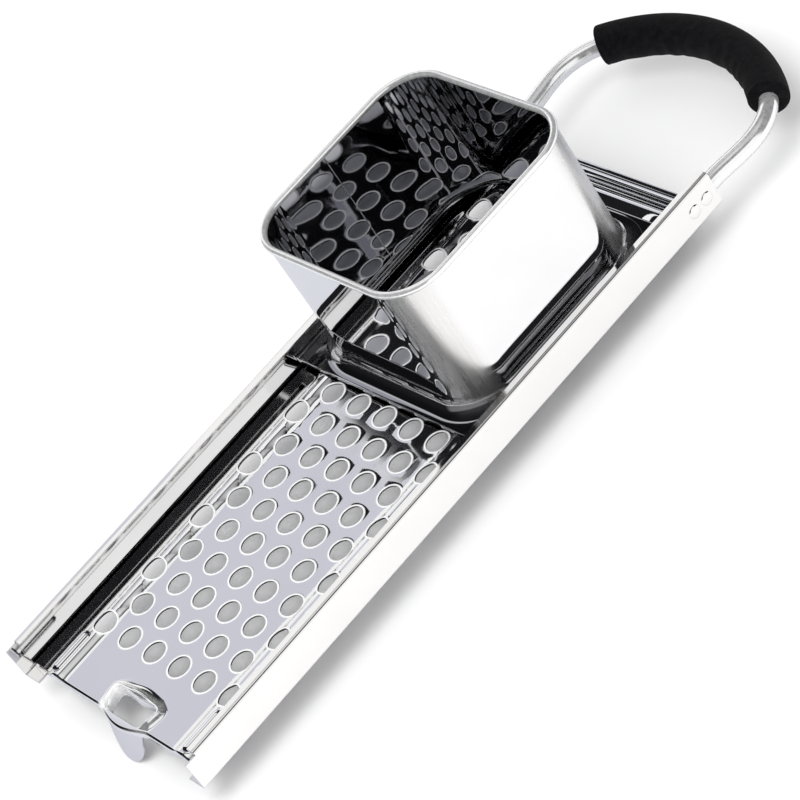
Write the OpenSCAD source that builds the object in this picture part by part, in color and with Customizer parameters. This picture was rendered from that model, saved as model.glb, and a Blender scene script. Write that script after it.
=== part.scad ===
// Spaetzle maker of the plane type: a perforated plate between two rails, a
// square hopper that slides over it, and a bent bar with a foam grip as handle.
// X runs from the pot hook to the handle, Z is up, and the origin lies on the
// floor below the middle of the whole tool.

/* [Rails] */
// Thickness of the pressed sheet steel
sheet = 0.8; // [0.6:0.1:1]
// Width over both rails
rail_span = 105.4; // [100:0.2:110]
// Length of a rail
rail_length = 264; // [240:1:280]
// Distance of the rails' middle ahead of the origin
rail_shift = 32; // [28:1:36]
// Height of a rail
rail_height = 14.5; // [13:0.1:16]
// Distance of the rail's underside below the plate's upper face
rail_drop = 3; // [2.8:0.1:3.2]
// Width of the lip along the top of a rail
rail_lip_w = 4.1; // [3.5:0.1:5]
// Distance of the lip's front end behind the rail's front end
lip_setback = 4.5; // [3:0.5:6]
// Outer radius of the rail's bends
rail_bend_r = 1.5; // [1.2:0.1:2]

/* [Plate] */
// Height of the plate's upper face above the tip of the pot hook
plate_z = 15; // [13.5:0.5:20]
// Distance of the plate's front edge behind the rails' front ends
plate_setback = 4; // [3:0.5:6]
// Distance of the plate's last flat stretch ahead of the rails' rear ends
plate_end_gap = 14.8; // [14:0.1:16]
// Depth of the lip that is turned down along the front edge
front_lip_depth = 3; // [2.5:0.5:4]
// Diameter of the punched holes
hole_d = 8.4; // [5:0.1:9]
// Number of holes in the wide rows
wide_row_holes = 6; // [5:1:7]
// Distance of the first row of holes behind the plate's front edge
first_row_gap = 25; // [24:0.5:30]
// Least distance of the last row of holes ahead of the rolled rear edge
last_row_gap = 20; // [12:1:30]

/* [Guide ribs] */
// Distance of each guide rib's crest from the outside of its rail
rib_inset = 16.1; // [15.6:0.1:16.6]
// Height of the rib's crest above the plate
rib_height = 1.4; // [1.2:0.1:1.6]
// Radius of the rib's crest
crest_r = 7; // [6.5:0.1:7.5]
// Radius of the hollow between the plate and the rib
foot_r = 8; // [7:0.5:9]
// Length of the stop bar on the front of each rib
stop_length = 19; // [14:1:20]
// Width of the stop bar
stop_w = 4.4; // [3.5:0.1:5]
// Height of the stop bar above the rib's crest
stop_height = 1.2; // [1.1:0.1:2]

/* [Pot hook] */
// Distance of the hook from the middle of the plate
hook_y = -1.5; // [-3:0.5:0]
// Width of the hook's opening at its rear end
opening_w = 22; // [20:0.5:24]
// Distance of the opening's rear end behind the plate's front edge
opening_l = 10; // [9:0.5:11]
// Width of the tongue at its root
tongue_w = 22; // [18:0.5:23]
// Radius of the tongue's round end
tongue_end_r = 9; // [7:0.5:9]
// Angle by which the tongue leans forwards from upright
tongue_lean = 15; // [10:1:20]
// Radius of the bead pressed round the hook's opening
bead_r = 1.6; // [1.3:0.1:2]

/* [Hopper] */
// Length of the hopper's wall at the outside
hopper_l = 85.4; // [76:0.2:90]
// Distance of the hopper's side wall from the slide's side edge
hopper_inset = 7.5; // [6:0.1:9]
// Corner radius of the hopper's wall
hopper_r = 18; // [12:0.5:22]
// Thickness of the drawn hopper sheet
hopper_t = 0.8; // [0.6:0.1:1]
// Height of the hopper's rim above the plate
rim_z = 62.6; // [50:0.1:70]
// Thickness of the rolled rim
rim_d = 2.6; // [2:0.1:3.2]
// Distance of the hopper's middle ahead of the rails' rear ends, as it is stored
hopper_rest = 70; // [66:1:150]
// Gap between the slide and the ribs below it
slide_gap = 0.3; // [0.3:0.05:0.5]
// Gap between the slide and each rail
side_gap = 0.4; // [0.3:0.05:0.6]

/* [Handle] */
// Diameter of the handle's bar
bar_d = 6.8; // [6:0.1:7]
// Height of the bar's axis above the plate
bar_z = 3.8; // [3.6:0.1:4]
// Length of the bar's ends inside the rails
bar_seat = 15.5; // [15:0.5:16]
// Length of each leg between the rail and its swell
swell_gap = 1.5; // [1:0.5:5]
// Length over which each leg swells outwards
swell_l = 20; // [16:0.5:24]
// Amount by which each leg swells outwards
swell = 2; // [1:0.1:2.5]
// Radius of the bends beside the grip
corner_r = 26; // [22:0.5:30]
// Angle through which each of those bends turns
corner_turn = 52; // [48:0.5:56]
// Outer diameter of the foam grip
grip_d = 15; // [13:0.5:17]
// Part of each corner bend that the grip covers, in degrees
grip_overlap = 8; // [4:1:12]
// Diameter of the rivets that hold the bar
rivet_d = 3; // [2.5:0.1:3.5]
// Diameter of the rivets' heads
rivet_head_d = 5.2; // [4.5:0.1:6]
// Height of the rivets' heads
rivet_head_h = 0.7; // [0.5:0.1:1]
// Distance between the two rivets of one rail
rivet_pitch = 6.4; // [6.2:0.1:7]

/* [Hidden] */
$fn = 64;
eps = 0.01;
lap = 0.15;
far = 20;

// Rails
rail_front_x = -rail_length / 2 - rail_shift;
rail_rear_x = rail_front_x + rail_length;
rail_outer_y = rail_span / 2;
rail_inner_y = rail_outer_y - sheet;
rail_top_z = rail_height - rail_drop;
lip_y = rail_outer_y - rail_lip_w;

// Plate: the rib's section is one convex arc between a hollow and a slope.
plate_front_x = rail_front_x + plate_setback;
plate_flat_end_x = rail_rear_x - plate_end_gap;
rib_y = rail_outer_y - rib_inset;
rib_centre_z = rib_height - crest_r;
foot_angle = acos((foot_r - rib_centre_z) / (foot_r + crest_r));
foot_y = rib_y - (foot_r + crest_r) * sin(foot_angle);
slope_angle = 46;
ledge_z = -rail_drop + 2 * sheet;
slope_top_y = rib_y + crest_r * sin(slope_angle);
slope_top_z = rib_centre_z + crest_r * cos(slope_angle);
toe_part = 0.6;
toe_r = toe_part * (slope_top_z - ledge_z) / (1 - cos(slope_angle));
slope_drop = (1 - toe_part) * (slope_top_z - ledge_z);
ledge_y = slope_top_y + slope_drop / tan(slope_angle) + toe_r * sin(slope_angle);
ledge_end_y = rail_inner_y - 1.4;
rail_floor_y = ledge_y + 1.1;

// Holes: the outer columns lie just inside the crests of the ribs.
outer_hole_inset = 1.1;
hole_pitch = 2 * (rib_y - outer_hole_inset) / (wide_row_holes - 1);
row_pitch = hole_pitch * sin(60);
first_row_x = plate_front_x + first_row_gap;
last_row = floor((plate_flat_end_x - first_row_x - last_row_gap) / row_pitch);

// Rolled rear edge of the plate: a hollow, a round back and a skirt.
rear_hollow_r = 4;
rear_back_r = 3.6;
rear_slope = 55;
rear_centre_x = plate_flat_end_x + (rear_hollow_r + rear_back_r) * sin(rear_slope);
rear_centre_z = rear_hollow_r - (rear_hollow_r + rear_back_r) * cos(rear_slope);
rear_half_w = rail_floor_y - 0.3;

// Hook
opening_rear_x = plate_front_x + opening_l;
bulge = 3;
bulge_half_w = 12;
bulge_r = (pow(bulge_half_w, 2) + pow(bulge, 2)) / (2 * bulge);
opening_front_w = 17;
opening_bevel = 3;
front_bar = 1.6;
tongue_inset = 0.4;
tongue_start = 0.9;
bead_sink = 0.3;
bead_side = 0.8;

// Slide
slide_z = rib_height + slide_gap;
flange_z = slide_z + sheet;
slide_half_w = rail_inner_y - side_gap;
hem_w = 1.1;
hem_h = 1.6;
edge_lip_w = 0.5;
fit_gap = 0.05;
foot_strip = 0.1;
flare_r = hopper_inset - hem_w - 2 * fit_gap;
hopper_w = 2 * (slide_half_w - hopper_inset);
hopper_x = rail_rear_x - hopper_rest;
foot_l = hopper_l + 2 * flare_r;
foot_w = hopper_w + 2 * flare_r;
slide_l = foot_l + 2 * (edge_lip_w + 2 * fit_gap + foot_strip);
mouth_inset = 2.8;

// Handle
bar_r = bar_d / 2;
hair = 0.04;
bar_y = rail_inner_y - bar_r - fit_gap;
bar_end_x = rail_rear_x - bar_seat;
swell_x = rail_rear_x + swell_gap;
swell_angle = 2 * atan(swell / swell_l);
swell_r = swell_l / (2 * sin(swell_angle));
bend_x = swell_x + swell_l;
bend_y = bar_y + swell;
arc_half = 90 - corner_turn;
arc_x = bend_x + corner_r * sin(corner_turn);
arc_y = bend_y - corner_r * (1 - cos(corner_turn));
arc_r = arc_y / sin(arc_half);
arc_centre_x = arc_x - arc_r * cos(arc_half);

// The grip follows the circle through the loop's middle and the grip's two ends.
grip_end_x = bend_x + corner_r * cos(arc_half + grip_overlap);
grip_end_y = bend_y - corner_r * (1 - sin(arc_half + grip_overlap));
loop_x = arc_centre_x + arc_r;
grip_centre_x = (pow(loop_x, 2) - pow(grip_end_x, 2) - pow(grip_end_y, 2))
                / (2 * (loop_x - grip_end_x));
grip_r = loop_x - grip_centre_x;
grip_half = asin(grip_end_y / grip_r);

// Rivets
rivet_x = bar_end_x + 4.3;
rivet_depth = 2.6;

module at_plate() {
    translate([0, 0, plate_z]) children();
}

module both_sides() {
    children();
    mirror([0, 1, 0]) children();
}

// Stands a section drawn in Y and Z upright and draws it along X
module along_x(x0, x1) {
    translate([x0, 0, 0]) rotate([90, 0, 90]) linear_extrude(x1 - x0) children();
}

// Part of a flat ring from one angle to another, which laps a little over both ends
module ring_part(r_in, r_out, a0, a1) {
    reach = r_out * 2;
    middle = (a0 + a1) / 2;
    intersection() {
        difference() {
            circle(r_out);
            circle(r_in);
        }
        polygon([[0, 0],
                 reach * [cos(a0 - lap), sin(a0 - lap)],
                 reach * [cos(middle), sin(middle)] * 1.2,
                 reach * [cos(a1 + lap), sin(a1 + lap)]]);
    }
}

// Points on an arc about a centre, from one angle to another
function arc_points(c, r, a0, a1, steps) =
    [for (i = [0 : steps]) let (a = a0 + (a1 - a0) * i / steps) c + r * [cos(a), sin(a)]];

// One side of the sheet from the rib's inner foot to the edge, at a depth t below its face
function side_line(t) = concat(
    arc_points([foot_y, foot_r], foot_r + t, -90, -90 + foot_angle, 5),
    arc_points([rib_y, rib_centre_z], crest_r - t, 90 + foot_angle, 90 - slope_angle, 14),
    arc_points([ledge_y, ledge_z + toe_r], toe_r + t, -90 - slope_angle, -90, 6),
    [[ledge_end_y, ledge_z - t]]);

function reversed(points) = [for (i = [len(points) - 1 : -1 : 0]) points[i]];

function mirrored(points) = [for (p = reversed(points)) [-p[0], p[1]]];

// Section of the whole plate in Y and Z: its face from side to side, then its back
module plate_section() {
    face = side_line(0);
    back = side_line(sheet);
    polygon(concat(mirrored(face), face, reversed(back), reversed(mirrored(back))));
}

// Section of the lip that is turned down along the front edge
module front_lip_section() {
    intersection() {
        for (i = [1 : 3])
            translate([0, -i * (front_lip_depth - sheet) / 3]) plate_section();
        translate([-ledge_y, -front_lip_depth]) square([2 * ledge_y, 2 * front_lip_depth]);
    }
}

module holes() {
    for (i = [0 : last_row]) {
        n = i % 2 == 0 ? wide_row_holes : wide_row_holes - 1;
        for (k = [0 : n - 1])
            translate([first_row_x + i * row_pitch, (k - (n - 1) / 2) * hole_pitch, -far / 2])
                cylinder(h = far, d = hole_d, $fn = 32);
    }
}

// Bar pressed up out of a rib's crest, with round ends and a crowned top
module stop_bar() {
    top = rib_height + stop_height;
    crown_r = stop_w * 0.75;
    x0 = plate_front_x + 1;
    x1 = x0 + stop_length;
    translate([0, rib_y, 0]) intersection() {
        union() {
            for (x = [x0 + stop_w / 2, x1 - stop_w / 2])
                translate([x, 0, 0]) cylinder(h = top, d = stop_w);
            translate([x0 + stop_w / 2, -stop_w / 2, 0])
                cube([stop_length - stop_w, stop_w, top]);
        }
        translate([x0 - 1, 0, top - crown_r]) rotate([0, 90, 0])
            cylinder(h = stop_length + 2, r = crown_r);
    }
}

// Outline of the hook's opening, narrower towards the front
module opening_outline() {
    front = plate_front_x - bulge + front_bar;
    half = opening_front_w / 2;
    polygon([[opening_rear_x, -opening_w / 2], [opening_rear_x, opening_w / 2],
             [front + opening_bevel, half], [front, half - opening_bevel],
             [front, -half + opening_bevel], [front + opening_bevel, -half]]);
}

// Tongue bent down to the floor from the front edge, and curved as that edge is
module tongue() {
    reach = (plate_z - tongue_start - sheet * sin(tongue_lean)) / cos(tongue_lean);
    straight = reach - tongue_end_r;
    translate([plate_front_x - bulge + tongue_inset, hook_y, -tongue_start])
        rotate([0, tongue_lean, 0]) intersection() {
            translate([bulge_r, 0, -2 * far]) difference() {
                cylinder(h = 2 * far, r = bulge_r, $fn = 128);
                translate([0, 0, -1]) cylinder(h = 2 * far + 2, r = bulge_r - sheet, $fn = 128);
            }
            translate([-1, 0, 0]) rotate([90, 0, 90]) linear_extrude(bulge_r) {
                translate([0, -straight]) circle(tongue_end_r);
                polygon([[-tongue_w / 2, 0], [tongue_w / 2, 0],
                         [tongue_end_r, -straight], [-tongue_end_r, -straight]]);
            }
        }
}

// Bead behind and beside the hook's opening; its sides are a hair thinner than its back
module hook_bead() {
    half = opening_w / 2 + bead_side;
    tip_half = opening_front_w / 2 + bead_side;
    tip_x = plate_front_x + 1.4;
    side_l = norm([opening_rear_x - tip_x, half - tip_half]);
    side_turn = atan2(half - tip_half, opening_rear_x - tip_x);
    translate([0, hook_y, -bead_sink]) difference() {
        union() {
            translate([opening_rear_x, 0, 0]) rotate([90, 0, 0])
                cylinder(h = 2 * (half + bead_r), r = bead_r, center = true);
            both_sides() translate([tip_x, tip_half, 0]) rotate([0, 90, side_turn])
                cylinder(h = side_l, r = bead_r - 2 * eps);
        }
        translate([tip_x - far / 2, -far, -bead_sink - far])
            cube([opening_l + far, 2 * far, far]);
    }
}

// Solid piece of the front edge that bulges ahead of the hook's opening
module front_bulge() {
    translate([plate_front_x - bulge + bulge_r, hook_y, -front_lip_depth]) intersection() {
        cylinder(h = front_lip_depth, r = bulge_r, $fn = 128);
        translate([-bulge_r, -bulge_half_w, 0])
            cube([bulge + sheet / 2, 2 * bulge_half_w, front_lip_depth]);
    }
}

// Rolled rear edge, which also stops the slide
module rear_edge() {
    roll_split = 60;
    translate([0, rear_half_w, 0]) rotate([90, 0, 0]) linear_extrude(2 * rear_half_w) {
        translate([plate_flat_end_x, rear_hollow_r])
            ring_part(rear_hollow_r, rear_hollow_r + sheet, -90, -90 + rear_slope);
        translate([rear_centre_x, rear_centre_z]) {
            ring_part(rear_back_r - sheet, rear_back_r, roll_split, 90 + rear_slope);
            ring_part(rear_back_r - sheet, rear_back_r, 0, roll_split);
        }
        translate([rear_centre_x + rear_back_r - sheet, -rail_drop])
            square([sheet, rear_centre_z + rail_drop]);
    }
}

module grater_plate() {
    color([0.82, 0.82, 0.86]) at_plate() {
        difference() {
            union() {
                along_x(plate_front_x, plate_flat_end_x) plate_section();
                along_x(plate_front_x, plate_front_x + sheet) front_lip_section();
                front_bulge();
                both_sides() stop_bar();
                hook_bead();
            }
            holes();
            translate([0, hook_y, -far / 2]) linear_extrude(far) opening_outline();
        }
        tongue();
        rear_edge();
    }
}

// Box from y0 to y1 and z0 to z1 with round corners at y1
module rounded_box(y0, y1, z0, z1, r) {
    translate([y0, z0]) square([y1 - y0 - r, z1 - z0]);
    translate([y0, z0 + r]) square([y1 - y0, z1 - z0 - 2 * r]);
    for (z = [z0 + r, z1 - r]) translate([y1 - r, z]) circle(r);
}

// Section of one rail: floor, wall and lip, with round bends
module rail_section() {
    floor_top_z = -rail_drop + sheet;
    difference() {
        rounded_box(rail_floor_y, rail_outer_y, -rail_drop, rail_top_z, rail_bend_r);
        rounded_box(rail_floor_y - 1, rail_inner_y, floor_top_z, rail_top_z - sheet,
                    rail_bend_r - sheet);
        translate([rail_floor_y - 1, floor_top_z])
            square([lip_y - rail_floor_y + 1, rail_height]);
    }
}

module rail() {
    difference() {
        along_x(rail_front_x, rail_rear_x) rail_section();
        translate([rail_front_x - 1, 0, rail_top_z - rail_bend_r])
            cube([lip_setback + 1, rail_inner_y - sheet, rail_bend_r + 1]);
        for (i = [0, 1])
            translate([rivet_x + i * rivet_pitch, rail_outer_y + 1, bar_z]) rotate([90, 0, 0])
                cylinder(h = sheet + 2, d = rivet_d);
    }
}

module left_rail() {
    color([0.86, 0.86, 0.88]) at_plate() rail();
}

module right_rail() {
    color([0.86, 0.86, 0.88]) at_plate() mirror([0, 1, 0]) rail();
}

module rounded_rect(l, w, r) {
    square([l - 2 * r, w], center = true);
    square([l, w - 2 * r], center = true);
    for (x = [-1, 1], y = [-1, 1])
        translate([x * (l / 2 - r), y * (w / 2 - r)]) circle(r);
}

// Sheet frame below the hopper, with folded side hems and turned-up ends
module slide_frame() {
    color([0.6, 0.6, 0.63]) at_plate() translate([hopper_x, 0, slide_z]) {
        difference() {
            translate([-slide_l / 2, -slide_half_w, 0]) cube([slide_l, 2 * slide_half_w, sheet]);
            translate([0, 0, -1]) linear_extrude(sheet + 2)
                rounded_rect(foot_l - 2 * mouth_inset, foot_w - 2 * mouth_inset,
                             hopper_r + flare_r - mouth_inset);
        }
        both_sides() translate([-slide_l / 2, slide_half_w - hem_w, sheet]) {
            cube([slide_l, hem_w, hem_h - hem_w / 2]);
            translate([0, hem_w / 2, hem_h - hem_w / 2]) rotate([0, 90, 0])
                cylinder(h = slide_l, d = hem_w);
        }
        for (s = [-1, 1]) translate([s * (slide_l - edge_lip_w) / 2, 0, sheet + hopper_t / 2])
            cube([edge_lip_w, 2 * (slide_half_w - hem_w) + eps, hopper_t + eps], center = true);
    }
}

// Upright section of the hopper's wall with the flare below it; x = 0 is the wall's outside
module wall_section() {
    rim_middle = rim_z - flange_z - rim_d / 2;
    foot_h = flare_r + hopper_t;
    translate([-hopper_t, foot_h]) square([hopper_t, rim_middle - foot_h]);
    translate([flare_r, foot_h]) ring_part(flare_r, foot_h, 180, 270);
    translate([flare_r - eps, 0]) square([foot_strip + eps, hopper_t]);
    translate([rim_d / 2 - 2 * hopper_t, rim_middle]) circle(d = rim_d);
}

module hopper_corner() {
    rotate_extrude(angle = 90, $fn = 96) translate([hopper_r, 0]) wall_section();
}

module hopper_side(length) {
    rotate([90, 0, 0]) translate([0, 0, -length / 2]) linear_extrude(length) wall_section();
}

// Flat flange that rests on the slide frame, round the foot of the hopper
module hopper_flange() {
    flange_l = slide_l - 2 * (edge_lip_w + fit_gap);
    flange_w = 2 * (slide_half_w - hem_w - fit_gap);
    difference() {
        translate([-flange_l / 2, -flange_w / 2, 0]) cube([flange_l, flange_w, hopper_t]);
        translate([0, 0, -1]) linear_extrude(hopper_t + 2)
            rounded_rect(foot_l + foot_strip, foot_w + foot_strip,
                         hopper_r + flare_r + foot_strip / 2);
    }
}

module hopper() {
    straight_l = hopper_l - 2 * hopper_r;
    straight_w = hopper_w - 2 * hopper_r;
    color([0.88, 0.88, 0.9]) at_plate() translate([hopper_x, 0, flange_z]) {
        for (s = [0, 180]) rotate(s) {
            translate([hopper_l / 2, 0, 0]) hopper_side(straight_w);
            translate([0, hopper_w / 2, 0]) rotate(90) hopper_side(straight_l);
            translate([straight_l / 2, straight_w / 2, 0]) hopper_corner();
            translate([-straight_l / 2, straight_w / 2, 0]) rotate(90) hopper_corner();
        }
        hopper_flange();
    }
}

// An arc of round bar in the plane of the handle, about the origin
module bar_arc(r, d, a0, a1) {
    rotate([0, 0, a0]) rotate_extrude(angle = a1 - a0, $fn = 128)
        translate([r, 0]) circle(d = d, $fn = 48);
}

// A hair thinner arc, which runs a little way into the full stretches at both its ends
module joining_arc(r, a0, a1) {
    entry = 0.3;
    turn = entry / r * 180 / PI;
    bar_arc(r, bar_d - hair, a0 - turn, a1 + turn);
}

module handle_bar() {
    color([0.85, 0.85, 0.87]) at_plate() translate([0, 0, bar_z]) difference() {
        union() {
            translate([arc_centre_x, 0, 0]) bar_arc(arc_r, bar_d, -arc_half, arc_half);
            both_sides() {
                translate([bend_x, bend_y - corner_r, 0]) joining_arc(corner_r, arc_half, 90);
                translate([bend_x, bend_y - swell_r, 0])
                    bar_arc(swell_r, bar_d, 90, 90 + swell_angle);
                translate([swell_x, bar_y + swell_r, 0])
                    joining_arc(swell_r, -90, -90 + swell_angle);
                translate([bar_end_x, bar_y, 0]) rotate([0, 90, 0])
                    cylinder(h = swell_x - bar_end_x, d = bar_d, $fn = 48);
            }
        }
        both_sides() for (i = [0, 1])
            translate([rivet_x + i * rivet_pitch, bar_y + bar_r + 1, 0]) rotate([90, 0, 0])
                cylinder(h = rivet_depth + 1, d = rivet_d);
    }
}

module foam_grip() {
    color([0.06, 0.06, 0.06]) at_plate() translate([grip_centre_x, 0, bar_z]) difference() {
        bar_arc(grip_r, grip_d, -grip_half, grip_half);
        bar_arc(grip_r, bar_d, -grip_half - 1, grip_half + 1);
    }
}

// Four rivets from the outside of the rails into the bar's ends
module bar_rivets() {
    head_r = rivet_head_d / 2;
    dome_r = (pow(head_r, 2) + pow(rivet_head_h, 2)) / (2 * rivet_head_h);
    shank = rail_outer_y - (bar_y + bar_r) + rivet_depth;
    color([0.8, 0.8, 0.83]) at_plate() both_sides() for (i = [0, 1])
        translate([rivet_x + i * rivet_pitch, rail_outer_y, bar_z]) {
            rotate([90, 0, 0]) cylinder(h = shank, d = rivet_d);
            intersection() {
                translate([0, rivet_head_h - dome_r, 0]) sphere(dome_r);
                rotate([-90, 0, 0]) cylinder(h = 2, r = head_r + 1);
            }
        }
}

grater_plate();
left_rail();
right_rail();
slide_frame();
hopper();
handle_bar();
foam_grip();
bar_rivets();
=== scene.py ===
import math

import bmesh
import bpy
from mathutils import Matrix, Vector


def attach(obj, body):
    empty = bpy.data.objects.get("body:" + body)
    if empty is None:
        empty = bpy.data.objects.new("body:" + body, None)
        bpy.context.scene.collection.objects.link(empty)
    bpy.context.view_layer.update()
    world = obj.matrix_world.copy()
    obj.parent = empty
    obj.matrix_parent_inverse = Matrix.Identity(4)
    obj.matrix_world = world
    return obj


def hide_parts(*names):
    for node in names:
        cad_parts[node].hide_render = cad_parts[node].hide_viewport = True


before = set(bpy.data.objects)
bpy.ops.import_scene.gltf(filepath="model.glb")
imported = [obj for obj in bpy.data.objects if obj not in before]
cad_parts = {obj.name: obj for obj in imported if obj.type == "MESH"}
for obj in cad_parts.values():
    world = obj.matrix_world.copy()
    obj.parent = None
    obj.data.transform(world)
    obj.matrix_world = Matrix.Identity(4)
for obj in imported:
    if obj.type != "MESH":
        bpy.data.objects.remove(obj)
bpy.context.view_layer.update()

scene = bpy.context.scene
scene.view_settings.view_transform = "Standard"


# ---------------------------------------------------------------------------
# Camera: a long lens looks down on the tool from beyond its right rail.
# The picture is rolled, so that the tool runs from corner to corner.
# ---------------------------------------------------------------------------
camera_place = Vector((-0.32471, -0.84955, 0.74634))
camera_forward = Vector((0.26535, 0.73063, -0.62910)).normalized()
camera_roll = math.radians(35.26)
camera_lens = 155.04

level_right = camera_forward.cross(Vector((0, 0, 1))).normalized()
level_up = level_right.cross(camera_forward)
picture_right = math.cos(camera_roll) * level_right - math.sin(camera_roll) * level_up
picture_up = picture_right.cross(camera_forward)
camera_data = bpy.data.cameras.new("camera")
camera_data.lens = camera_lens
camera_data.clip_start = 0.05
camera_data.clip_end = 20
camera = bpy.data.objects.new("camera", camera_data)
turn = Matrix((picture_right, picture_up, -camera_forward)).transposed()
camera.matrix_world = Matrix.Translation(camera_place) @ turn.to_4x4()
scene.collection.objects.link(camera)
scene.camera = camera


# ---------------------------------------------------------------------------
# Studio: a white floor under even light. The polished sheet mirrors a dark
# room with a few pale panels, as steel is photographed in a tent of cloths.
# ---------------------------------------------------------------------------
floor_half = 2.5
floor_colour = (0.97, 0.97, 0.97)
floor_mirrored = (0.66, 0.67, 0.72)
mirrored_from = -0.060
mirrored_full = -0.045
white = (1.0, 1.0, 1.0)
room_dark = (0.012, 0.012, 0.014)
room_strength = 0.88
horizon_end = 0.05
lamp_place = Vector((-0.5, -0.35, 1.3))
lamp_size = 0.9
lamp_power = 8.0


def add_node(tree, kind, inputs=None, **settings):
    """A new node with its settings; each input named takes a socket or a plain value."""
    node = tree.nodes.new(kind)
    for name, value in settings.items():
        setattr(node, name, value)
    for key, value in (inputs or {}).items():
        if isinstance(value, bpy.types.NodeSocket):
            tree.links.new(value, node.inputs[key])
        else:
            node.inputs[key].default_value = value
    return node


def math_node(tree, operation, *terms, clamp=False):
    """A math node whose terms are sockets or plain numbers; gives its result."""
    node = add_node(tree, "ShaderNodeMath", dict(enumerate(terms)), operation=operation,
                    use_clamp=clamp)
    return node.outputs[0]


def mix_colour(tree, share, a, b):
    """Blend of two colours, which are sockets or three numbers; gives its result."""
    a, b = (c if isinstance(c, bpy.types.NodeSocket) else (*c, 1) for c in (a, b))
    mix = add_node(tree, "ShaderNodeMix", {"Factor": share, "A": a, "B": b}, data_type="RGBA")
    return mix.outputs["Result"]


def shader_group(name, inputs, outputs):
    """A new node group; gives it with the sockets that come in and its end node."""
    group = bpy.data.node_groups.new(name, "ShaderNodeTree")
    for in_out, sockets in (("INPUT", inputs), ("OUTPUT", outputs)):
        for label, kind in sockets:
            group.interface.new_socket(label, in_out=in_out, socket_type="NodeSocket" + kind)
    return group, group.nodes.new("NodeGroupInput").outputs, group.nodes.new("NodeGroupOutput")


floor_mesh = bpy.data.meshes.new("floor")
floor_mesh.from_pydata([(-floor_half, -floor_half, 0), (floor_half, -floor_half, 0),
                        (floor_half, floor_half, 0), (-floor_half, floor_half, 0)],
                       [], [(0, 1, 2, 3)])
floor = bpy.data.objects.new("floor", floor_mesh)
scene.collection.objects.link(floor)
# The floor is white to the eye. The steel mirrors it grey beyond the right rail's line.
floor_paint = bpy.data.materials.new("white_floor")
floor_paint.use_nodes = True
floor_tree = floor_paint.node_tree
floor_tree.nodes.clear()
floor_place = add_node(floor_tree, "ShaderNodeTexCoord").outputs["Object"]
floor_y = add_node(floor_tree, "ShaderNodeSeparateXYZ", {0: floor_place}).outputs["Y"]
beyond = add_node(floor_tree, "ShaderNodeMapRange",
                  {"Value": floor_y, "From Min": mirrored_from, "From Max": mirrored_full})
floor_path = add_node(floor_tree, "ShaderNodeLightPath").outputs
mirrored = math_node(floor_tree, "MULTIPLY", beyond.outputs["Result"], floor_path["Is Glossy Ray"])
floor_tone = mix_colour(floor_tree, mirrored, floor_colour, floor_mirrored)
matt = add_node(floor_tree, "ShaderNodeBsdfDiffuse", {"Color": floor_tone})
add_node(floor_tree, "ShaderNodeOutputMaterial", {"Surface": matt.outputs[0]})
floor_mesh.materials.append(floor_paint)

lamp_data = bpy.data.lights.new("soft_lamp", "AREA")
lamp_data.shape = "DISK"
lamp_data.size = lamp_size
lamp_data.energy = lamp_power
lamp = bpy.data.objects.new("soft_lamp", lamp_data)
lamp.matrix_world = (Matrix.Translation(lamp_place)
                     @ (-lamp_place).to_track_quat("-Z", "Y").to_matrix().to_4x4())
lamp.visible_glossy = False
scene.collection.objects.link(lamp)


def panel_group():
    """Mask of one soft-edged panel, from the direction in which a mirrored ray leaves."""
    group, given, result = shader_group("soft_panel", (
        ("Direction", "Vector"), ("Toward", "Vector"), ("Edge", "Float"), ("Low", "Float"),
        ("High", "Float"), ("Softness", "Float")), (("Mask", "Float"),))
    split = add_node(group, "ShaderNodeSeparateXYZ", {0: given["Direction"]}).outputs
    level = add_node(group, "ShaderNodeCombineXYZ", {"X": split["X"], "Y": split["Y"]})
    unit = add_node(group, "ShaderNodeVectorMath", {0: level.outputs[0]}, operation="NORMALIZE")
    facing = add_node(group, "ShaderNodeVectorMath", {0: unit.outputs[0], 1: given["Toward"]},
                      operation="DOT_PRODUCT")

    def step(value, edge, start, end):
        """From start to end across an edge, over twice the softness."""
        below = math_node(group, "SUBTRACT", edge, given["Softness"])
        above = math_node(group, "ADD", edge, given["Softness"])
        ramp = add_node(group, "ShaderNodeMapRange", {
            "Value": value, "From Min": below, "From Max": above, "To Min": start,
            "To Max": end}, interpolation_type="SMOOTHSTEP")
        return ramp.outputs["Result"]

    mask = math_node(group, "MULTIPLY", step(facing.outputs["Value"], given["Edge"], 0.0, 1.0),
                     step(split["Z"], given["Low"], 0.0, 1.0))
    mask = math_node(group, "MULTIPLY", mask, step(split["Z"], given["High"], 1.0, 0.0))
    group.links.new(mask, result.inputs["Mask"])
    return group


soft_panel = panel_group()
# Each panel: middle and half width in degrees from X, lowest and highest elevation,
# softness of its edges, colour. A later panel covers the earlier ones.
panels = (
    (0, 180, 72, 100, 0.05, white),
    (0, 45, 54, 68, 0.04, (0.42, 0.42, 0.44)),
    (145, 90, -2, 64, 0.008, white),
    (145, 90, 33, 45, 0.010, room_dark),
    (161.1, 90, 31, 50, 0.0008, white),
    (161.3, 90, 31, 50, 0.0008, (0.66, 0.665, 0.735)),
    (178, 90, 20, 57, 0.012, white),
    (187, 90, 0, 71, 0.020, room_dark),
    (180, 40, 3, 26, 0.060, (0.16, 0.16, 0.17)),
    (-82, 28, -4, 46, 0.020, white),
)
world = bpy.data.worlds.new("studio")
scene.world = world
world.use_nodes = True
room = world.node_tree
room.nodes.clear()
direction = add_node(room, "ShaderNodeTexCoord").outputs["Generated"]
height = add_node(room, "ShaderNodeSeparateXYZ", {0: direction}).outputs["Z"]
horizon = add_node(room, "ShaderNodeValToRGB", {"Fac": height})
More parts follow.
